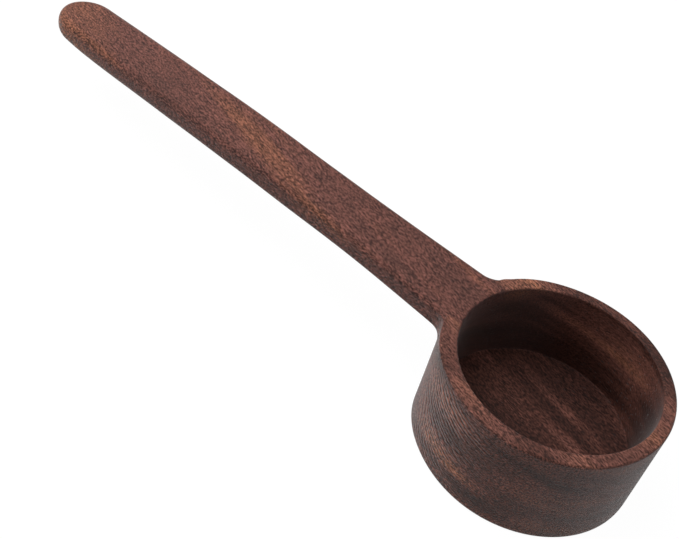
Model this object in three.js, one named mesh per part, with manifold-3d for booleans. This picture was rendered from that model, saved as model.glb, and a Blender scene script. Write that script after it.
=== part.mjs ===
// Wooden bath salt scoop: a turned round cup with a long flat handle let into its rim.
// Millimetres, +Z up. The origin is the centre of the cup's base, and the handle runs along -X.

import * as THREE from "three";
import { mergeVertices } from "three/addons/utils/BufferGeometryUtils.js";
import Module from "manifold-3d";

const wasm = await Module();
wasm.setup();

// Cup
const cupRadius = 25;
const cupHeight = 25;
const wallThickness = 3;
const floorThickness = 5;
const rimOuterRound = 0.6;
const rimInnerRound = 0.4;
const floorCornerRound = 0.8;
const baseEdgeRound = 1;

// Handle: lengths run from the cup's wall to the tip
const handleLength = 141;
const neckWidth = 16.4;
const tipWidth = 14.8;
const neckThickness = 5.4;
const tipThickness = 6.8;
const tipDrop = 4.8;
const dropPower = 1.5;
const tipRoundLength = 8;
const neckEdgeRound = 1;
const tipEdgeRound = 2.6;
const neckFillet = 7;
const underFillet = 3;

// Joint: the tongue lies in a notch in the wall, with a shoulder below it against the wall
const shoulderDepth = 2.2;
const glueGap = 0.3;

// Finish
const cupColor = 0x4f332b;
const handleColor = 0x5f4540;
const woodRoughness = 0.6;

// Fineness of the facets
const turnSegments = 96;
const roundSegments = 5;
const filletSegments = 8;
const shaftSegments = 14;
const tipSegments = 12;
const widthSegments = 8;

// Sizes that follow from those above
const boreRadius = cupRadius - wallThickness;
const neckHalf = neckWidth / 2;
const tipHalf = tipWidth / 2;
const tongueFloor = cupHeight - neckThickness + shoulderDepth;
const handleReach = cupRadius + handleLength;
const tipStart = handleReach - tipRoundLength;
const cutMargin = wallThickness;

// The neck's fillet touches the handle's side and the cup's wall: its centre, and its angle at the wall
const filletAcross = neckHalf + neckFillet;
const filletAlong = Math.sqrt((cupRadius + neckFillet) ** 2 - filletAcross ** 2);
const filletWallAngle = Math.atan2(filletAcross, filletAlong);

function lengthShare(along) {
  return THREE.MathUtils.clamp((along - cupRadius) / handleLength, 0, 1);
}

function sideTaper(along) {
  const share = (along - filletAlong) / (tipStart - filletAlong);
  return THREE.MathUtils.lerp(neckHalf, tipHalf, share);
}

// The top leaves the rim level and sinks towards the tip
function topAt(along) {
  return cupHeight - tipDrop * lengthShare(along) ** dropPower;
}

function thicknessAt(along) {
  return THREE.MathUtils.lerp(neckThickness, tipThickness, lengthShare(along));
}

function edgeRoundAt(along) {
  return THREE.MathUtils.lerp(neckEdgeRound, tipEdgeRound, lengthShare(along));
}

// The underside swells down into the cup's wall by a round fillet
function undersideSwell(along, across) {
  const fromWall = Math.hypot(along, across) - cupRadius;
  const reach = underFillet - THREE.MathUtils.clamp(fromWall, 0, underFillet);
  return underFillet - Math.sqrt(underFillet ** 2 - reach ** 2);
}

function bottomAt(along, across) {
  return topAt(along) - thicknessAt(along) - undersideSwell(along, across);
}

// Points on a quarter round, from one direction to another
function arcPoints(centreX, centreY, radius, fromAngle, toAngle) {
  const points = [];
  for (let i = 0; i <= roundSegments; i += 1) {
    const angle = THREE.MathUtils.lerp(fromAngle, toAngle, i / roundSegments);
    points.push(new THREE.Vector2(centreX + radius * Math.cos(angle), centreY + radius * Math.sin(angle)));
  }
  return points;
}

// A closed solid from a geometry, with shared corners merged and empty triangles dropped
function toSolid(geometry) {
  const bare = geometry.clone();
  bare.deleteAttribute("normal");
  bare.deleteAttribute("uv");
  const merged = mergeVertices(bare);
  const corners = merged.index.array;
  const kept = [];
  for (let i = 0; i < corners.length; i += 3) {
    const [a, b, c] = corners.slice(i, i + 3);
    if (a !== b && b !== c && c !== a) {
      kept.push(a, b, c);
    }
  }
  const vertProperties = new Float32Array(merged.attributes.position.array);
  const triVerts = new Uint32Array(kept);
  return new wasm.Manifold(new wasm.Mesh({ numProp: 3, vertProperties, triVerts }));
}

function toGeometry(solid) {
  const mesh = solid.getMesh();
  const geometry = new THREE.BufferGeometry();
  geometry.setAttribute("position", new THREE.BufferAttribute(mesh.vertProperties, 3));
  geometry.setIndex(new THREE.BufferAttribute(mesh.triVerts, 1));
  geometry.computeVertexNormals();
  return geometry;
}

// A solid turned about the cup's axis from a profile of radius and height
function turned(profile) {
  const geometry = new THREE.LatheGeometry(profile, turnSegments);
  geometry.rotateX(Math.PI / 2);
  return toSolid(geometry);
}

function block(low, high) {
  const size = new THREE.Vector3().subVectors(high, low);
  const centre = new THREE.Vector3().addVectors(low, high).multiplyScalar(0.5);
  const geometry = new THREE.BoxGeometry(size.x, size.y, size.z);
  geometry.translate(centre.x, centre.y, centre.z);
  return toSolid(geometry);
}

// The cup before it is hollowed
function cupBlank() {
  const right = 0;
  const up = Math.PI / 2;
  const down = -Math.PI / 2;
  const rimCentre = [cupRadius - rimOuterRound, cupHeight - rimOuterRound];
  return turned([
    new THREE.Vector2(0, 0),
    ...arcPoints(cupRadius - baseEdgeRound, baseEdgeRound, baseEdgeRound, down, right),
    ...arcPoints(...rimCentre, rimOuterRound, right, up),
    new THREE.Vector2(0, cupHeight),
  ]);
}

// The space that is turned out of the cup, with its rounded floor corner and its eased lip
function boreSpace() {
  const left = Math.PI;
  const up = Math.PI / 2;
  const floorCentre = [boreRadius - floorCornerRound, floorThickness + floorCornerRound];
  const lipCentre = [boreRadius + rimInnerRound, cupHeight - rimInnerRound];
  return turned([
    new THREE.Vector2(0, floorThickness),
    ...arcPoints(...floorCentre, floorCornerRound, -up, 0),
    ...arcPoints(...lipCentre, rimInnerRound, left, up),
    new THREE.Vector2(boreRadius + rimInnerRound, cupHeight + cutMargin),
    new THREE.Vector2(0, cupHeight + cutMargin),
  ]);
}

// The slot that takes the tongue, wider than it by the given gap on each side
function tongueSlot(sideGap) {
  const halfWidth = neckHalf + sideGap;
  return block(
    new THREE.Vector3(-cupRadius - cutMargin, -halfWidth, tongueFloor),
    new THREE.Vector3(0, halfWidth, cupHeight + cutMargin),
  );
}

// The room that the cup's wall takes from the handle: all but the tongue stops short of the wall
function wallRoom() {
  const radius = cupRadius + glueGap;
  const cylinder = turned([
    new THREE.Vector2(0, -cutMargin),
    new THREE.Vector2(radius, -cutMargin),
    new THREE.Vector2(radius, cupHeight + cutMargin),
    new THREE.Vector2(0, cupHeight + cutMargin),
  ]);
  return cylinder.subtract(tongueSlot(0));
}

// One side of the handle in plan, from inside the cup to the tip: place and outward direction
function handleSide() {
  const side = [];
  const rootAcross = cupRadius * Math.sin(filletWallAngle);
  const rootAlong = Math.sqrt(boreRadius ** 2 - neckHalf ** 2) - cutMargin;
  side.push({ along: rootAlong, across: rootAcross, outAlong: 0, outAcross: 1 });
  for (let i = 0; i <= filletSegments; i += 1) {
    const angle = THREE.MathUtils.lerp(Math.PI + filletWallAngle, 1.5 * Math.PI, i / filletSegments);
    const along = filletAlong + neckFillet * Math.cos(angle);
    const across = filletAcross + neckFillet * Math.sin(angle);
    side.push({ along, across, outAlong: -Math.cos(angle), outAcross: -Math.sin(angle) });
  }
  for (let i = 1; i < shaftSegments; i += 1) {
    const along = THREE.MathUtils.lerp(filletAlong, tipStart, i / shaftSegments);
    side.push({ along, across: sideTaper(along), outAlong: 0, outAcross: 1 });
  }
  for (let i = 0; i <= tipSegments; i += 1) {
    const turn = (i / tipSegments) * (Math.PI / 2);
    const cos = i === tipSegments ? 0 : Math.cos(turn);
    const out = new THREE.Vector2(Math.sin(turn) / tipRoundLength, cos / tipHalf).normalize();
    side.push({
      along: tipStart + tipRoundLength * Math.sin(turn),
      across: tipHalf * cos,
      outAlong: out.x,
      outAcross: out.y,
    });
  }
  return side;
}

// One closed loop round the handle at a place on its side: top, far edge, underside, near edge
function handleLoop(place) {
  const { along, across, outAlong, outAcross } = place;
  const round = edgeRoundAt(along);
  const innerAlong = along - round * outAlong;
  const innerAcross = across - round * outAcross;
  const upper = [];
  const lower = [];
  for (let i = 0; i <= roundSegments; i += 1) {
    const angle = (i / roundSegments) * (Math.PI / 2);
    const edgeAlong = innerAlong + round * Math.sin(angle) * outAlong;
    const edgeAcross = innerAcross + round * Math.sin(angle) * outAcross;
    const sink = round * (1 - Math.cos(angle));
    upper.push([edgeAlong, edgeAcross, topAt(edgeAlong) - sink]);
    lower.push([edgeAlong, edgeAcross, bottomAt(edgeAlong, edgeAcross) + sink]);
  }
  const loop = [];
  for (let i = 1; i < widthSegments; i += 1) {
    const share = (2 * i) / widthSegments - 1;
    loop.push([innerAlong, share * innerAcross, topAt(innerAlong)]);
  }
  loop.push(...upper, ...lower.toReversed());
  for (let i = 1; i < widthSegments; i += 1) {
    const share = 1 - (2 * i) / widthSegments;
    loop.push([innerAlong, share * innerAcross, bottomAt(innerAlong, share * innerAcross)]);
  }
  for (const [edgeAlong, edgeAcross, height] of [...lower, ...upper.toReversed()]) {
    loop.push([edgeAlong, -edgeAcross, height]);
  }
  return loop;
}

// The handle's whole form, lofted through its loops, before it is cut to the cup
function handleBlank() {
  const loops = handleSide().map(handleLoop);
  const count = loops[0].length;
  const positions = [];
  for (const [along, across, height] of loops.flat()) {
    positions.push(-along, across, height);
  }
  const triangles = [];
  for (let i = 0; i + 1 < loops.length; i += 1) {
    for (let j = 0; j < count; j += 1) {
      const next = (j + 1) % count;
      const here = i * count;
      const beyond = here + count;
      triangles.push(here + j, here + next, beyond + next);
      triangles.push(here + j, beyond + next, beyond + j);
    }
  }
  for (let j = 1; j + 1 < count; j += 1) {
    triangles.push(0, j + 1, j);
  }
  const geometry = new THREE.BufferGeometry();
  geometry.setAttribute("position", new THREE.Float32BufferAttribute(positions, 3));
  geometry.setIndex(triangles);
  return toSolid(geometry);
}

function wood(color) {
  return new THREE.MeshStandardMaterial({ color, roughness: woodRoughness, metalness: 0 });
}

function piece(name, solid, color) {
  const mesh = new THREE.Mesh(toGeometry(solid), wood(color));
  mesh.name = name;
  return mesh;
}

const bore = boreSpace();
const cupSolid = cupBlank().subtract(bore).subtract(tongueSlot(glueGap));
const handleSolid = handleBlank().subtract(wallRoom()).subtract(bore);

const scoop = new THREE.Group();
scoop.name = "bath_salt_scoop";
scoop.add(piece("cup", cupSolid, cupColor));
scoop.add(piece("handle", handleSolid, handleColor));

export default scoop;
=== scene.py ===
"""Looks of a wooden bath salt scoop: a turned walnut cup with a long flat handle let into its rim.

Metres, +Z up. The cup stands on its base at the origin, and the handle runs along -X.
"""
import math

import bmesh
import bpy
import numpy as np
from mathutils import Euler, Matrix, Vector, noise


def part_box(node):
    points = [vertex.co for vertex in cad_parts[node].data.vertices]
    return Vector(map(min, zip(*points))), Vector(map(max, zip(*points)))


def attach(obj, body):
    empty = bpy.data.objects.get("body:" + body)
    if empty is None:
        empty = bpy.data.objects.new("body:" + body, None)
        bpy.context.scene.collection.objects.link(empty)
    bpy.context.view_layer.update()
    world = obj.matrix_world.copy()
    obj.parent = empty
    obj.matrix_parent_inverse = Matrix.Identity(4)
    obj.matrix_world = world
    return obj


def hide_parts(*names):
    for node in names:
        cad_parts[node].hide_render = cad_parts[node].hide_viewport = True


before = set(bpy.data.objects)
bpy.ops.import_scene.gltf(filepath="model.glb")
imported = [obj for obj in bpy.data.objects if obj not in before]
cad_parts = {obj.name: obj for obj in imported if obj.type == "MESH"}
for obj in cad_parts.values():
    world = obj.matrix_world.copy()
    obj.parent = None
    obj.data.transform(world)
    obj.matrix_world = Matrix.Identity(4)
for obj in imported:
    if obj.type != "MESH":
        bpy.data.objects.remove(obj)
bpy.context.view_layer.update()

MM = 0.001

# Cup: the outer sizes come from the frame
CUP_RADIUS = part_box("cup")[1].x
CUP_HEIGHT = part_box("cup")[1].z
WALL = 3.0 * MM
FLOOR = 5.0 * MM
RIM_OUTER_ROUND = 0.6 * MM
RIM_INNER_ROUND = 0.4 * MM
FLOOR_CORNER_ROUND = 0.3 * MM
BASE_EDGE_ROUND = 1.0 * MM
BORE_RADIUS = CUP_RADIUS - WALL

# Handle: the reach comes from the frame
HANDLE_REACH = -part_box("handle")[0].x
HANDLE_LENGTH = HANDLE_REACH - CUP_RADIUS
TIP_DROP = 4.8 * MM
DROP_POWER = 1.5
TIP_ROUND_LENGTH = 9.0 * MM
TIP_LIFT = 1.5 * MM
TIP_LIFT_LENGTH = 16.0 * MM
TIP_RAKE = 0.5 * MM
TIP_RAKE_LENGTH = 18.0 * MM
NECK_FILLET = 4.5 * MM
UNDER_FILLET = 1.5 * MM

# Stations evenly spaced along the handle, from the cup's wall to the tip:
# half width, thickness, upper edge round and lower edge round
STATIONS = MM * np.array([
    (8.80, 5.40, 1.60, 0.80),
    (8.03, 5.60, 1.70, 1.10),
    (7.86, 6.15, 1.80, 1.40),
    (8.15, 6.20, 2.10, 1.80),
    (8.15, 6.65, 2.70, 2.20),
    (8.15, 7.10, 3.30, 2.80),
    (7.45, 6.80, 3.00, 2.20),
])

# Joint: the tongue in the cup's notch, with a glue line as fine as a hair
TONGUE_HALF = 8.2 * MM
TONGUE_THICKNESS = 3.2 * MM
TONGUE_FLOOR = CUP_HEIGHT - TONGUE_THICKNESS
GLUE_LINE = 0.04 * MM
CUT_MARGIN = 3.0 * MM

# Turned by hand: the wall is fuller beside the neck, and the bore lies a little off the middle
NECK_BULGE = 0.6 * MM
BULGE_FROM_HANDLE = math.radians(32)
BULGE_SPREAD = math.radians(24)
BORE_SHIFT = 0.4 * MM

# The handle's flare: the fillet's centre, and the angle at which it meets the wall
FLARE_WALL = CUP_RADIUS + NECK_BULGE
FLARE_ACROSS = STATIONS[0][0] + NECK_FILLET
FLARE_ALONG = math.sqrt((FLARE_WALL + NECK_FILLET) ** 2 - FLARE_ACROSS ** 2)
FLARE_END = math.atan2(FLARE_ACROSS, FLARE_ALONG)

# Under the flare the rim's outer edge is left square and sanded flush
SQUARE_UNTIL = FLARE_END - math.radians(2)
ROUND_FROM = FLARE_END + math.radians(4)
SQUARE_ROUND = 0.03 * MM

# The end of the tongue is left a little rough where the bore was cut through it
ROUGH_LIP = 0.28 * MM
ROUGH_LIP_LENGTH = 1.1 * MM
ROUGH_FROM_BORE = 0.3 * MM
SMOOTH_FROM_BORE = 1.1 * MM
ROUGH_BELOW_RIM = 0.4 * MM
SMOOTH_BELOW_RIM = 1.2 * MM

# Fineness of the meshes
TURN_SEGMENTS = 288
ROUND_SEGMENTS = 8
WALL_SEGMENTS = 24
FLOOR_SEGMENTS = 20
FILLET_SEGMENTS = 20
SHAFT_SEGMENTS = 64
TIP_SEGMENTS = 30
WIDTH_SEGMENTS = 20
SHARP_ANGLE = math.radians(38)
MERGE_DISTANCE = 1e-7
COLLAPSE_DISTANCE = 1e-8

# Hand finishing leaves the form a little uneven
WAVER = 0.07 * MM
WAVER_LENGTH = 17.0 * MM
WAVER_SEED = 7

# Camera, from the photograph's view
CAMERA_PLACE = Vector((44.1, -157.0, 180.6)) * MM
CAMERA_TARGET = Vector((-46.9, -17.9, 25.0)) * MM
CAMERA_ROLL = math.radians(15.27)
CAMERA_LENS = 56.76
CAMERA_SENSOR = 36.0
CAMERA_NEAR = 1 * MM

# Studio: the floor, the white that is seen or mirrored, and the plain light on the object
WHITE = (1, 1, 1, 1)
FLOOR_HALF = 3.0
FLOOR_DEPTH = 2 * MM
FLOOR_GREY = (0.3, 0.3, 0.3, 1)
FLOOR_GLOW = 1.15
FLOOR_GLOW_SHARE = 0.85
WORLD_LIGHT = 0.29
WORLD_SEEN = 1.0
LAMP_PLACE = (-0.41, -0.11, 0.64)
LAMP_TARGET = (0, 0, 0.02)
LAMP_SIZE = 0.85
LAMP_POWER = 5.4


def lerp(a, b, share):
    return a + (b - a) * share


def arc(centre, radius, start, end, count=ROUND_SEGMENTS):
    """Points on an arc in the plane, from one angle to another."""
    angles = np.linspace(start, end, count + 1)
    return [(centre[0] + radius * math.cos(a), centre[1] + radius * math.sin(a)) for a in angles]


def straight(start, end, count):
    """Points between two ends, without the ends."""
    shares = np.linspace(0, 1, count + 1)[1:-1]
    return [(lerp(start[0], end[0], s), lerp(start[1], end[1], s)) for s in shares]


def mesh_object(name, vertices, faces):
    """A mesh with shared corners merged and faces that point out."""
    mesh = bpy.data.meshes.new(name)
    mesh.from_pydata([tuple(v) for v in vertices], [], faces)
    work = bmesh.new()
    work.from_mesh(mesh)
    bmesh.ops.remove_doubles(work, verts=work.verts, dist=MERGE_DISTANCE)
    bmesh.ops.dissolve_degenerate(work, edges=work.edges, dist=COLLAPSE_DISTANCE)
    bmesh.ops.recalc_face_normals(work, faces=work.faces)
    work.to_mesh(mesh)
    work.free()
    piece = bpy.data.objects.new(name, mesh)
    bpy.context.scene.collection.objects.link(piece)
    return piece


def turned(name, profile):
    """A solid turned about the Z axis. profile(angle) gives radius and height, with its ends on the axis."""
    vertices = []
    for step in range(TURN_SEGMENTS):
        angle = 2 * math.pi * step / TURN_SEGMENTS
        vertices += [(r * math.cos(angle), r * math.sin(angle), z) for r, z in profile(angle)]
    count = len(profile(0.0))
    faces = []
    for step in range(TURN_SEGMENTS):
        here = step * count
        beyond = ((step + 1) % TURN_SEGMENTS) * count
        for k in range(count - 1):
            faces.append((here + k, beyond + k, beyond + k + 1, here + k + 1))
    return mesh_object(name, vertices, faces)


def block(name, low, high):
    spans = list(zip(low, high))
    corners = [(x, y, z) for x in spans[0] for y in spans[1] for z in spans[2]]
    faces = [(0, 1, 3, 2), (4, 6, 7, 5), (0, 4, 5, 1), (2, 3, 7, 6), (0, 2, 6, 4), (1, 5, 7, 3)]
    return mesh_object(name, corners, faces)


def cut(piece, tool):
    """Takes one solid out of another."""
    modifier = piece.modifiers.new("cut", "BOOLEAN")
    modifier.operation = "DIFFERENCE"
    modifier.solver = "EXACT"
    modifier.object = tool
    bpy.context.view_layer.update()
    result = bpy.data.meshes.new_from_object(piece.evaluated_get(bpy.context.evaluated_depsgraph_get()))
    piece.modifiers.clear()
    piece.data = result


def drop(*pieces):
    for piece in pieces:
        bpy.data.objects.remove(piece)


def ease(value, low, high):
    share = min(max((value - low) / (high - low), 0.0), 1.0)
    return share * share * (3 - 2 * share)


def outer_radius(angle):
    from_bulge = (abs(angle - math.pi) - BULGE_FROM_HANDLE) / BULGE_SPREAD
    return CUP_RADIUS + NECK_BULGE * math.exp(-from_bulge ** 2)


def bore_radius(angle):
    return BORE_RADIUS + BORE_SHIFT * math.sin(angle)


def cup_profile(angle):
    """The cup's outline from the middle of its base, over the rim, to the middle of its floor."""
    right, up, left, down = 0.0, math.pi / 2, math.pi, -math.pi / 2
    from_handle = abs(angle - math.pi)
    rim_round = lerp(SQUARE_ROUND, RIM_OUTER_ROUND, ease(from_handle, SQUARE_UNTIL, ROUND_FROM))
    outer = outer_radius(angle)
    bore = bore_radius(angle)
    base = arc((outer - BASE_EDGE_ROUND, BASE_EDGE_ROUND), BASE_EDGE_ROUND, down, right)
    rim = arc((outer - rim_round, CUP_HEIGHT - rim_round), rim_round, right, up)
    lip = arc((bore + RIM_INNER_ROUND, CUP_HEIGHT - RIM_INNER_ROUND), RIM_INNER_ROUND, up, left)
    corner_centre = (bore - FLOOR_CORNER_ROUND, FLOOR + FLOOR_CORNER_ROUND)
    corner = arc(corner_centre, FLOOR_CORNER_ROUND, right, down)
    return (
        [(0, 0)] + straight((0, 0), base[0], FLOOR_SEGMENTS) + base
        + straight(base[-1], rim[0], WALL_SEGMENTS) + rim
        + straight(rim[-1], lip[0], ROUND_SEGMENTS) + lip
        + straight(lip[-1], corner[0], WALL_SEGMENTS) + corner
        + straight(corner[-1], (0, FLOOR), FLOOR_SEGMENTS) + [(0, FLOOR)]
    )


def bore_profile(angle):
    """The space inside the cup, with its eased lip, up past the rim."""
    bore = bore_radius(angle)
    edge = bore + RIM_INNER_ROUND
    lip = arc((edge, CUP_HEIGHT - RIM_INNER_ROUND), RIM_INNER_ROUND, math.pi, math.pi / 2)
    above = CUP_HEIGHT + CUT_MARGIN
    return [(0, FLOOR), (bore, FLOOR)] + lip + [(edge, above), (0, above)]


def wall_profile(angle):
    """The cup's whole outer form, with the glue line round it."""
    radius = outer_radius(angle) + GLUE_LINE
    above = CUP_HEIGHT + CUT_MARGIN
    return [(0, -CUT_MARGIN), (radius, -CUT_MARGIN), (radius, above), (0, above)]


def length_share(along):
    return min(max((along - CUP_RADIUS) / HANDLE_LENGTH, 0.0), 1.0)


def top_at(along):
    return CUP_HEIGHT - TIP_DROP * length_share(along) ** DROP_POWER


def station(along):
    """The handle's section at a place along it, on a smooth curve through the stations."""
    last = len(STATIONS) - 1
    place = length_share(along) * last
    first = min(int(place), last - 1)
    f = place - first
    before, start, end, after = (STATIONS[min(max(first + k, 0), last)] for k in (-1, 0, 1, 2))
    slope = end - before
    bend = 2 * before - 5 * start + 4 * end - after
    twist = 3 * start - before - 3 * end + after
    return start + 0.5 * (slope * f + bend * f ** 2 + twist * f ** 3)


def underside_at(along, across):
    """The handle's underside, which swells down into the cup's wall."""
    from_wall = math.hypot(along, across) - CUP_RADIUS
    reach = UNDER_FILLET - min(max(from_wall, 0.0), UNDER_FILLET)
    swell = UNDER_FILLET - math.sqrt(UNDER_FILLET ** 2 - reach ** 2)
    lift = TIP_LIFT * max((along - HANDLE_REACH) / TIP_LIFT_LENGTH + 1, 0.0) ** 2
    return top_at(along) - station(along)[1] - swell + lift


def handle_side():
    """One side of the handle in plan, from inside the cup to the tip.

    Each row is the place along and across, the way out of the wood, and the share past the flare.
    """
    tip_start = HANDLE_REACH - TIP_ROUND_LENGTH
    tip_half = station(tip_start)[0]
    root_along = math.sqrt(BORE_RADIUS ** 2 - TONGUE_HALF ** 2) - CUT_MARGIN
    side = [(root_along, FLARE_WALL * math.sin(FLARE_END), 0.0, 1.0, 0.0)]
    for share in np.linspace(0, 1, FILLET_SEGMENTS + 1):
        angle = lerp(math.pi + FLARE_END, 1.5 * math.pi, share)
        cos, sin = math.cos(angle), math.sin(angle)
        along = FLARE_ALONG + NECK_FILLET * cos
        across = FLARE_ACROSS + NECK_FILLET * sin
        side.append((along, across, -cos, -sin, share))
    for along in np.linspace(FLARE_ALONG, tip_start, SHAFT_SEGMENTS + 1)[1:-1]:
        side.append((along, station(along)[0], 0.0, 1.0, 1.0))
    for turn in np.linspace(0, math.pi / 2, TIP_SEGMENTS + 1):
        cos, sin = max(math.cos(turn), 0.0), math.sin(turn)
        out = Vector((sin / TIP_ROUND_LENGTH, cos / tip_half)).normalized()
        side.append((tip_start + TIP_ROUND_LENGTH * sin, tip_half * cos, out.x, out.y, 1.0))
    return side


def raked(point):
    """The tip is rounded further back on the near side."""
    x, y, z = point
    near_side = ease(-y, 0.0, STATIONS[-1][0])
    at_tip = ease(-x, HANDLE_REACH - TIP_RAKE_LENGTH, HANDLE_REACH)
    return (x + TIP_RAKE * near_side * at_tip, y, z)


def handle_loop(along, across, out_along, out_across, from_wall):
    """One closed loop round the handle: top, far edge, underside, near edge."""
    edge_round = lerp(RIM_OUTER_ROUND, station(along)[2], from_wall)
    lower_round = lerp(RIM_OUTER_ROUND, station(along)[3], from_wall)
    inner_along = along - edge_round * out_along
    inner_across = across - edge_round * out_across
    upper, lower = [], []
    for angle in np.linspace(0, math.pi / 2, ROUND_SEGMENTS + 1):
        inset = edge_round * (1 - math.sin(angle))
        x = along - inset * out_along
        y = across - inset * out_across
        upper.append((-x, y, top_at(x) - edge_round * (1 - math.cos(angle))))
        inset = lower_round * (1 - math.sin(angle))
        x = along - inset * out_along
        y = across - inset * out_across
        lower.append((-x, y, underside_at(x, y) + lower_round * (1 - math.cos(angle))))
    shares = np.linspace(-1, 1, WIDTH_SEGMENTS + 1)[1:-1]
    loop = [(-inner_along, s * inner_across, top_at(inner_along)) for s in shares]
    loop += upper + lower[::-1]
    low_along = along - lower_round * out_along
    low_across = across - lower_round * out_across
    loop += [(-low_along, -s * low_across, underside_at(low_along, s * low_across)) for s in shares]
    loop += [(x, -y, z) for x, y, z in lower + upper[::-1]]
    return [raked(point) for point in loop]


def handle_blank(name):
    """The handle's whole form, lofted through its loops, before it is cut to the cup."""
    loops = [handle_loop(*place) for place in handle_side()]
    count = len(loops[0])
    vertices = [point for loop in loops for point in loop]
    faces = [tuple(range(count))]
    for i in range(len(loops) - 1):
        for j in range(count):
            k = (j + 1) % count
            faces.append((i * count + j, i * count + k, (i + 1) * count + k, (i + 1) * count + j))
    return mesh_object(name, vertices, faces)


def tongue_slot(name, gap):
    half = TONGUE_HALF + gap
    low = (-CUP_RADIUS - CUT_MARGIN, -half, TONGUE_FLOOR)
    return block(name, low, (0, half, CUP_HEIGHT + CUT_MARGIN))


def waver(piece):
    """Moves every point by the same slow unevenness, so that the pieces stay flush."""
    noise.seed_set(WAVER_SEED)
    for vertex in piece.data.vertices:
        vertex.co += WAVER * noise.noise_vector(vertex.co / WAVER_LENGTH)


def smooth(piece):
    piece.data.shade_smooth()
    piece.data.set_sharp_from_angle(angle=SHARP_ANGLE)


def roughen_lip(piece):
    """Small chips along the tongue's inner edge."""
    for vertex in piece.data.vertices:
        radius = vertex.co.xy.length
        at_bore = ease(radius, BORE_RADIUS + SMOOTH_FROM_BORE, BORE_RADIUS + ROUGH_FROM_BORE)
        at_rim = ease(vertex.co.z, CUP_HEIGHT - SMOOTH_BELOW_RIM, CUP_HEIGHT - ROUGH_BELOW_RIM)
        push = noise.noise(vertex.co / ROUGH_LIP_LENGTH) * ROUGH_LIP * (at_bore * at_rim)
        vertex.co.xy *= 1 + abs(push) / radius
        vertex.co.z -= abs(push)


def make_cup():
    cup = turned("scoop_cup", cup_profile)
    slot = tongue_slot("slot", GLUE_LINE)
    cut(cup, slot)
    drop(slot)
    return cup


def make_handle():
    handle = handle_blank("scoop_handle")
    wall = turned("wall", wall_profile)
    slot = tongue_slot("slot", 0.0)
    bore = turned("bore", bore_profile)
    cut(wall, slot)
    cut(handle, wall)
    cut(handle, bore)
    drop(wall, slot, bore)
    roughen_lip(handle)
    return handle


class Graph:
    """A material's nodes, added one call at a time."""

    def __init__(self, name):
        self.material = bpy.data.materials.new(name)
        self.material.use_nodes = True
        self.tree = self.material.node_tree
        self.tree.nodes.clear()

    def feed(self, socket, value):
        if isinstance(value, bpy.types.NodeSocket):
            self.tree.links.new(value, socket)
        else:
            socket.default_value = value

    def node(self, kind, settings=None, inputs=None):
        node = self.tree.nodes.new(kind)
        for key, value in (settings or {}).items():
            setattr(node, key, value)
        for key, value in (inputs or {}).items():
            self.feed(node.inputs[key], value)
        return node

    def math(self, operation, a, b=0.0):
        return self.node("ShaderNodeMath", {"operation": operation}, {0: a, 1: b}).outputs[0]

    def plus(self, a, b):
        return self.math("ADD", a, b)

    def minus(self, a, b):
        return self.math("SUBTRACT", a, b)

    def times(self, a, b):
        return self.math("MULTIPLY", a, b)

    def vector(self, operation, inputs):
        return self.node("ShaderNodeVectorMath", {"operation": operation}, inputs).outputs

    def span(self, value, low, high, to_low=0.0, to_high=1.0):
        inputs = {"Value": value, "From Min": low, "From Max": high, "To Min": to_low, "To Max": to_high}
        return self.node("ShaderNodeMapRange", {"interpolation_type": "SMOOTHSTEP"}, inputs).outputs[0]

    def stretch(self, vector, lengths, offset):
        """Coordinates in which a feature of these lengths is one unit long each way."""
        scale = tuple(1 / length for length in lengths)
        inputs = {"Vector": vector, "Scale": scale, "Location": offset}
        return self.node("ShaderNodeMapping", {}, inputs).outputs[0]

    def noise(self, vector, detail, roughness=0.5):
        inputs = {"Vector": vector, "Scale": 1.0, "Detail": detail, "Roughness": roughness}
        return self.node("ShaderNodeTexNoise", {"noise_dimensions": "3D"}, inputs).outputs["Fac"]

    def mix(self, factor, a, b):
        node = self.node("ShaderNodeMix", {"data_type": "RGBA", "clamp_factor": True})
        self.feed(node.inputs["Factor"], factor)
        self.feed(node.inputs[6], a)
        self.feed(node.inputs[7], b)
        return node.outputs[2]

    def ramp(self, factor, stops):
        node = self.node("ShaderNodeValToRGB", {}, {"Fac": factor})
        elements = node.color_ramp.elements
        while len(elements) < len(stops):
            elements.new(0.5)
        for element, (position, color) in zip(elements, stops):
            element.position = position
            element.color = (*color, 1.0)
        return node.outputs["Color"]


# Walnut: the grain runs a little across the handle, and the layers lie almost flat
GRAIN_TURN = math.radians(11)
GRAIN_TILT = math.radians(2)
GRAIN = Euler((0.0, GRAIN_TILT, GRAIN_TURN)).to_matrix()

# The wood's end grain faces this way, and all its noise starts from one place
END_WAY = tuple(GRAIN.transposed() @ Vector((1, 0, 0)))
WOOD_SEED = (3.0, 7.0, 2.0)

# Lengths of the wood's features in millimetres: along the grain, across it and through the layers
BEND_LENGTHS = (60.0, 18.0, 22.0)
BROAD_LENGTHS = (70.0, 40.0, 4.2)
NARROW_LENGTHS = (30.0, 9.0, 1.0)
RAGGED_LENGTHS = (14.0, 2.5, 2.0)
JITTER_LENGTHS = (22.0, 9.0, 3.0)
FIBRE_LENGTHS = (4.8, 0.36, 0.36)
SPECK_LENGTHS = (0.8, 0.25, 0.25)
PORE_LENGTHS = (1.9, 0.5, 0.5)

# Layers: their slope across the grain, and how far they bend in millimetres
LAYER_SLOPE = 0.30
BEND_DEPTH = 9.0

# Tones: the narrow streaks' depth, how far the edges stray in millimetres, and each tone's place
NARROW_DEPTH = 0.35
RAGGED_STRAY = (14.0, 4.0, 1.5)
TONE_STEPS = (0.12, 0.34, 0.52, 0.74, 0.95)

# A soft place fades out at the first share of its half lengths, and is full inside the second
SPOT_EDGE = 1.25
SPOT_FULL = 0.2

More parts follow.
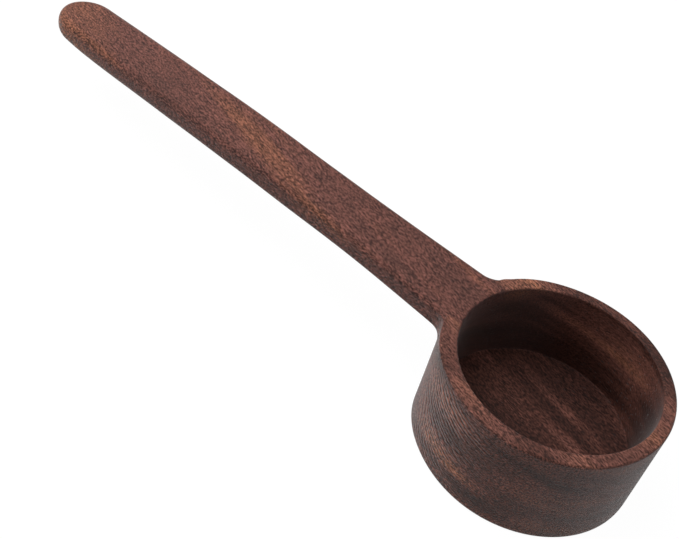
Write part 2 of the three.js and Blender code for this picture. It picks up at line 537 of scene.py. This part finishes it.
# Growth lines: the way across them, their pitch in millimetres, their jitter and their least depth
RING_WAY = tuple(GRAIN @ Vector((0.25, -0.40, 1.0)))
RING_PITCH = 1.1
RING_JITTER = 16.0
RING_DEPTH = 0.05

# Faces count as upright below the first upward share, and as level above the second
UPRIGHT_BELOW = 0.3
LEVEL_ABOVE = 0.75

# The bore's finish ends at the first radius, and the outer finish is full from the second
BORE_FINISH_END = BORE_RADIUS + 0.8 * MM
OUTER_FINISH_START = BORE_RADIUS + 1.6 * MM

# Fibres and specks: their depth, and what is added outside the cup and taken off in the bore
FIBRE_DEPTH = 2.5
FIBRE_COARSER = 0.8
SPECK_DEPTH = 5.2
SPECK_COARSER = 2.6
DARKEST_SHADE = 0.30

# Pores: the largest one's reach in its cell, its soft edge, its strength and its colour
PORE_REACH = 0.42
PORE_EDGE = 0.16
PORE_STRENGTH = 0.62
PORE_COLOR = (0.022, 0.012, 0.011, 1)

# End grain's painted sheen: how far a face must turn to show it, its strength and its grey, a painted sheen
# standing in for reflected light on the turned walls
END_FROM = 0.45
END_GRAIN_SHEEN_STRENGTH = 0.34
END_GRAIN_SHEEN_COLOR = (0.09, 0.077, 0.077, 1)

# Roughness of the faces, and what fibres and pores add to it
UPRIGHT_ROUGHNESS = 0.44
LEVEL_ROUGHNESS = 0.66
FIBRE_SWING = 0.2
FIBRE_SMOOTHEST = -0.04
FIBRE_ROUGHEST = 0.06
PORE_ROUGHNESS = 0.2

# Relief: what each feature adds to the height, and the bump's strength and depth
FIBRE_RELIEF = 0.6
SPECK_RELIEF = 1.5
SPECK_RELIEF_UPRIGHT = 5.5
LINE_RELIEF = 2.4
BUMP_STRENGTH = 0.7
BUMP_DEPTH = 0.07 * MM

# Oiled surface
SPECULAR = 0.16
SHEEN = 0.32
SHEEN_ROUGHNESS = 0.25


def patches(g, grain, value, spots):
    """Raises or lowers a tone in soft places: centre and half lengths in millimetres, and the amount."""
    for centre, reach, amount in spots:
        middle = GRAIN @ Vector(centre)
        offset = tuple(-m / r for m, r in zip(middle, reach))
        local = g.stretch(grain, reach, offset)
        far = g.vector("LENGTH", {0: local})["Value"]
        value = g.plus(value, g.span(far, SPOT_EDGE, SPOT_FULL, 0.0, amount))
    return value


def swing(g, vector, lengths, detail, roughness=0.5):
    """Noise about zero, with features of these lengths."""
    return g.minus(g.noise(g.stretch(vector, lengths, WOOD_SEED), detail, roughness), 0.5)


def walnut(name, tones, spots, lined, contrast):
    """Oiled walnut, solid through the piece: layers, streaks, growth lines, fibres, pores and end grain,
    with a painted grey sheen toward the end grain and some soft places of painted light and shade.
    """
    g = Graph(name)
    coordinates = g.node("ShaderNodeTexCoord").outputs
    place = coordinates["Object"]
    normal = coordinates["Normal"]
    turn = {"Vector": place, "Rotation": (0.0, GRAIN_TILT, GRAIN_TURN), "Scale": (1 / MM,) * 3}
    grain = g.node("ShaderNodeMapping", {}, turn).outputs[0]
    parts = g.node("ShaderNodeSeparateXYZ", {}, {0: grain}).outputs

    # Upright faces: the grain is coarser outside, and finer in the bore
    upward = g.math("ABSOLUTE", g.node("ShaderNodeSeparateXYZ", {}, {0: normal}).outputs["Z"])
    upright = g.span(upward, UPRIGHT_BELOW, LEVEL_ABOVE, 1.0, 0.0)
    level = g.vector("MULTIPLY", {0: place, 1: (1.0, 1.0, 0.0)})[0]
    radius = g.vector("LENGTH", {0: level})["Value"]
    outside = g.span(radius, BORE_FINISH_END, OUTER_FINISH_START)
    coarse = g.times(upright, g.minus(g.times(outside, 2.0), 1.0))

    # The layers bend slowly
    bend = g.noise(g.stretch(grain, BEND_LENGTHS, WOOD_SEED), 1.0)
    layer = g.plus(parts["Z"], g.times(parts["Y"], LAYER_SLOPE))
    layer = g.plus(layer, g.times(bend, BEND_DEPTH))
    layered = g.node("ShaderNodeCombineXYZ", {}, {0: parts["X"], 1: parts["Y"], 2: layer}).outputs[0]

    # Broad streaks of dark and warm wood, then narrow ones, then the soft places with ragged edges, some of
    # them painted light and shade
    broad = swing(g, layered, BROAD_LENGTHS, 2.0)
    narrow = swing(g, layered, NARROW_LENGTHS, 2.0, 0.6)
    tone = g.plus(0.5, g.times(broad, contrast))
    tone = g.plus(tone, g.times(narrow, NARROW_DEPTH))
    ragged = swing(g, layered, RAGGED_LENGTHS, 2.0)
    stray = {axis: g.times(ragged, length) for axis, length in enumerate(RAGGED_STRAY)}
    strayed = g.node("ShaderNodeCombineXYZ", {}, stray).outputs[0]
    shifted = g.vector("ADD", {0: grain, 1: strayed})[0]
    tone = patches(g, shifted, tone, spots)
    color = g.ramp(tone, list(zip(TONE_STEPS, tones)))

    # Growth lines, where they show
    count = g.vector("DOT_PRODUCT", {0: grain, 1: RING_WAY})["Value"]
    jitter = g.noise(g.stretch(grain, JITTER_LENGTHS, WOOD_SEED), 2.0, 0.6)
    phase = g.times(count, 2 * math.pi / RING_PITCH)
    phase = g.plus(phase, g.times(jitter, RING_JITTER))
    clear = patches(g, shifted, RING_DEPTH, lined)
    line = g.times(g.math("SINE", phase), clear)

    # Fibres and fine specks in the grain
    fibre = swing(g, grain, FIBRE_LENGTHS, 3.0, 0.6)
    speck = swing(g, grain, SPECK_LENGTHS, 1.0, 0.6)
    fibre_depth = g.plus(FIBRE_DEPTH, g.times(coarse, FIBRE_COARSER))
    speck_depth = g.plus(SPECK_DEPTH, g.times(coarse, SPECK_COARSER))
    shade = g.plus(1.0, line)
    shade = g.plus(shade, g.times(fibre, fibre_depth))
    shade = g.plus(shade, g.times(speck, speck_depth))
    shade = g.math("MAXIMUM", shade, DARKEST_SHADE)
    color = g.vector("SCALE", {0: color, "Scale": shade})[0]

    # Pores: short dark dashes along the grain
    pitch = g.stretch(grain, PORE_LENGTHS, WOOD_SEED)
    spread = {"Vector": pitch, "Scale": 1.0, "Randomness": 1.0}
    cells = g.node("ShaderNodeTexVoronoi", {"feature": "F1"}, spread).outputs
    draw = g.node("ShaderNodeSeparateColor", {}, {0: cells["Color"]}).outputs
    reach = g.times(draw[0], PORE_REACH)
    pore = g.span(g.minus(reach, cells["Distance"]), 0.0, PORE_EDGE)
    color = g.mix(g.times(pore, PORE_STRENGTH), color, PORE_COLOR)

    # Painted sheen: faces toward the end grain are mixed toward grey, standing in for the grey veil of
    # reflected light on the turned walls
    facing = g.vector("DOT_PRODUCT", {0: normal, 1: END_WAY})["Value"]
    end = g.span(g.math("ABSOLUTE", facing), END_FROM, 1.0)
    color = g.mix(g.times(end, END_GRAIN_SHEEN_STRENGTH), color, END_GRAIN_SHEEN_COLOR)

    # Upright faces shine a little, and the flat tops are sanded dull
    rough = g.span(upward, UPRIGHT_BELOW, LEVEL_ABOVE, UPRIGHT_ROUGHNESS, LEVEL_ROUGHNESS)
    rough = g.plus(rough, g.span(fibre, -FIBRE_SWING, FIBRE_SWING, FIBRE_SMOOTHEST, FIBRE_ROUGHEST))
    rough = g.plus(rough, g.times(pore, PORE_ROUGHNESS))

    # Relief: specks stand out most on upright faces outside the bore
    relief = g.times(outside, g.plus(SPECK_RELIEF, g.times(upright, SPECK_RELIEF_UPRIGHT)))
    height = g.minus(g.times(fibre, FIBRE_RELIEF), pore)
    height = g.plus(height, g.times(speck, relief))
    height = g.plus(height, g.times(line, LINE_RELIEF))
    raised = {"Height": height, "Strength": BUMP_STRENGTH, "Distance": BUMP_DEPTH}
    bump = g.node("ShaderNodeBump", {}, raised).outputs[0]
    inputs = {
        "Base Color": color,
        "Roughness": rough,
        "Normal": bump,
        "Specular IOR Level": SPECULAR,
        "Sheen Weight": SHEEN,
        "Sheen Roughness": SHEEN_ROUGHNESS,
    }
    shader = g.node("ShaderNodeBsdfPrincipled", {}, inputs).outputs[0]
    g.node("ShaderNodeOutputMaterial", {}, {"Surface": shader})
    return g.material


def white_ground(name):
    """A floor that is white to the camera and in mirrored light, and still keeps the object's shadow."""
    g = Graph(name)
    path = g.node("ShaderNodeLightPath").outputs
    mirrored = g.math("MAXIMUM", path["Is Glossy Ray"], path["Is Transmission Ray"])
    seen = g.math("MAXIMUM", path["Is Camera Ray"], mirrored)
    plain = g.node("ShaderNodeBsdfDiffuse", {}, {"Color": FLOOR_GREY}).outputs[0]
    glow = g.node("ShaderNodeEmission", {}, {"Color": WHITE, "Strength": FLOOR_GLOW}).outputs[0]
    share = g.times(seen, FLOOR_GLOW_SHARE)
    mixed = g.node("ShaderNodeMixShader", {}, {0: share, 1: plain, 2: glow}).outputs[0]
    g.node("ShaderNodeOutputMaterial", {}, {"Surface": mixed})
    return g.material


def make_floor():
    low = (-FLOOR_HALF, -FLOOR_HALF, -FLOOR_DEPTH)
    floor = block("floor", low, (FLOOR_HALF, FLOOR_HALF, 0.0))
    floor.data.materials.append(white_ground("floor_white"))


def set_world():
    """A white studio all round. It is full white only where it is seen or mirrored."""
    world = bpy.data.worlds.new("studio")
    bpy.context.scene.world = world
    world.use_nodes = True
    tree = world.node_tree
    tree.nodes.clear()
    path = tree.nodes.new("ShaderNodeLightPath")
    level = tree.nodes.new("ShaderNodeMapRange")
    level.inputs["To Min"].default_value = WORLD_LIGHT
    level.inputs["To Max"].default_value = WORLD_SEEN
    seen = tree.nodes.new("ShaderNodeMath")
    seen.operation = "MAXIMUM"
    tree.links.new(path.outputs["Is Camera Ray"], seen.inputs[0])
    tree.links.new(path.outputs["Is Glossy Ray"], seen.inputs[1])
    tree.links.new(seen.outputs[0], level.inputs["Value"])
    ground = tree.nodes.new("ShaderNodeBackground")
    ground.inputs["Color"].default_value = WHITE
    tree.links.new(level.outputs[0], ground.inputs["Strength"])
    out = tree.nodes.new("ShaderNodeOutputWorld")
    tree.links.new(ground.outputs[0], out.inputs["Surface"])


def set_lamp():
    lamp = bpy.data.lights.new("key", "AREA")
    lamp.shape = "DISK"
    lamp.size = LAMP_SIZE
    lamp.energy = LAMP_POWER
    item = bpy.data.objects.new("key", lamp)
    item.location = LAMP_PLACE
    item.rotation_euler = (Vector(LAMP_TARGET) - Vector(LAMP_PLACE)).to_track_quat("-Z", "Y").to_euler()
    bpy.context.scene.collection.objects.link(item)


def set_camera():
    data = bpy.data.cameras.new("camera")
    data.lens = CAMERA_LENS
    data.sensor_width = CAMERA_SENSOR
    data.clip_start = CAMERA_NEAR
    camera = bpy.data.objects.new("camera", data)
    look = (CAMERA_TARGET - CAMERA_PLACE).to_track_quat("-Z", "Y").to_matrix()
    camera.rotation_euler = (look @ Euler((0, 0, CAMERA_ROLL)).to_matrix()).to_euler()
    camera.location = CAMERA_PLACE
    bpy.context.scene.collection.objects.link(camera)
    bpy.context.scene.camera = camera


def finish_piece(piece, node, material):
    waver(piece)
    smooth(piece)
    piece.data.materials.clear()
    piece.data.materials.append(material)
    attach(piece, "root")
    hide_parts(node)


# Tones of the wood, from dark to light
CUP_TONES = [
    (0.042, 0.016, 0.012),
    (0.078, 0.030, 0.022),
    (0.126, 0.050, 0.038),
    (0.184, 0.074, 0.051),
    (0.248, 0.101, 0.059),
]
HANDLE_TONES = [
    (0.069, 0.029, 0.024),
    (0.103, 0.042, 0.033),
    (0.136, 0.053, 0.041),
    (0.179, 0.069, 0.044),
    (0.225, 0.088, 0.051),
]

# Soft places of lighter and darker wood, and some of painted light and shade: centre and half lengths in
# millimetres, and the amount
CUP_WOOD_AND_PAINTED_LIGHT_SPOTS = [
    # Painted shade: the cup darker low down, most of all on the bore's floor, partly darker wood
    ((0.0, 0.0, 6.0), (30.0, 26.0, 9.0), -0.30),
    ((20.0, 6.0, 12.0), (11.0, 16.0, 14.0), -0.30),
    # Painted shade: the far bore wall darker low down, partly a darker layer of the wood
    ((0.0, 21.0, 8.0), (18.0, 6.0, 6.0), -0.22),
    ((-8.0, -24.0, 20.0), (16.0, 6.0, 3.2), 0.16),
    ((-6.0, -24.0, 8.0), (16.0, 6.0, 3.0), 0.34),
    ((-10.0, -23.0, 14.0), (16.0, 5.0, 2.8), -0.34),
    ((4.0, -24.5, 19.0), (12.0, 6.0, 4.5), -0.30),
    ((7.0, -24.0, 5.0), (12.0, 6.0, 4.0), -0.36),
    ((2.0, -25.0, 10.0), (16.0, 6.0, 11.0), -0.12),
    ((-20.0, 12.0, 25.0), (10.0, 6.0, 4.0), 0.50),
    ((-15.5, 18.5, 25.0), (8.0, 5.0, 2.5), 0.20),
    ((-21.0, -9.5, 25.0), (4.0, 3.5, 3.0), 0.14),
    ((-15.0, -18.0, 25.0), (6.0, 5.0, 2.5), -0.30),
    ((9.5, -21.5, 25.0), (6.0, 4.0, 2.0), -0.18),
    ((-12.0, -19.0, 25.0), (16.0, 7.0, 1.4), 0.10),
    ((14.0, 18.0, 25.0), (12.0, 9.0, 2.0), -0.26),
    ((22.0, 2.0, 25.0), (6.0, 6.0, 2.0), 0.25),
    # Partly a lighter flame in the wood, partly painted light on the upper far bore wall
    ((9.0, 20.0, 17.0), (12.0, 8.0, 5.0), 0.22),
    ((0.0, 10.5, 5.0), (18.0, 2.0, 3.0), 0.28),
    ((11.0, 3.0, 5.0), (10.0, 2.0, 3.0), 0.18),
    # Painted light: a lighter, warmer patch on the bore's floor where the lamp's shadow falls
    ((-8.0, 0.5, 5.0), (8.0, 5.0, 3.0), 0.14),
    ((7.0, 6.0, 5.0), (7.0, 2.5, 3.0), -0.10),
    # Painted sheen: the lower right of the outer wall lighter, standing in for reflected light
    ((17.0, -18.0, 3.0), (11.0, 8.0, 4.0), 0.10),
    ((17.0, 14.0, 15.0), (7.0, 7.0, 8.0), -0.14),
    ((16.0, -20.0, 18.0), (12.0, 8.0, 6.0), -0.16),
]
HANDLE_WOOD_AND_PAINTED_LIGHT_SPOTS = [
    ((-92.0, -0.2, 23.0), (24.0, 3.4, 4.0), 0.28),
    ((-38.0, 7.5, 25.0), (26.0, 2.6, 4.0), 0.20),
    ((-24.0, -3.0, 25.0), (8.0, 7.0, 4.0), -0.14),
    ((-40.0, -6.0, 25.0), (10.0, 3.0, 4.0), -0.10),
    ((-48.0, 1.0, 25.0), (14.0, 6.0, 5.0), 0.12),
    ((-60.0, -8.0, 24.0), (20.0, 1.8, 4.0), 0.12),
    # Painted light: the tip lighter, standing in for the haze of reflected light on it
    ((-156.0, -4.0, 20.0), (24.0, 12.0, 7.0), 0.22),
    # Painted light: the tip's lower near edge lighter, standing in for light bounced up onto it
    ((-159.0, -7.0, 16.0), (14.0, 4.0, 5.0), 0.20),
    ((-72.0, -6.5, 24.0), (26.0, 2.6, 4.0), 0.16),
]

# Places where the growth lines show
CUP_LINED = [
    ((-8.0, -24.0, 19.5), (14.0, 6.0, 4.0), 0.60),
    ((-16.0, -19.0, 11.0), (17.0, 10.0, 14.0), 0.85),
]
HANDLE_LINED = [
    ((-58.0, -8.0, 23.0), (26.0, 3.5, 5.0), 0.30),
]

# How strongly the broad streaks differ
CUP_CONTRAST = 1.3
HANDLE_CONTRAST = 0.7

set_camera()
cup_wood = walnut("walnut_cup", CUP_TONES, CUP_WOOD_AND_PAINTED_LIGHT_SPOTS, CUP_LINED, CUP_CONTRAST)
handle_wood = walnut("walnut_handle", HANDLE_TONES, HANDLE_WOOD_AND_PAINTED_LIGHT_SPOTS, HANDLE_LINED, HANDLE_CONTRAST)
finish_piece(make_cup(), "cup", cup_wood)
finish_piece(make_handle(), "handle", handle_wood)
make_floor()
set_world()
set_lamp()

scene = bpy.context.scene
scene.view_settings.view_transform = "Standard"
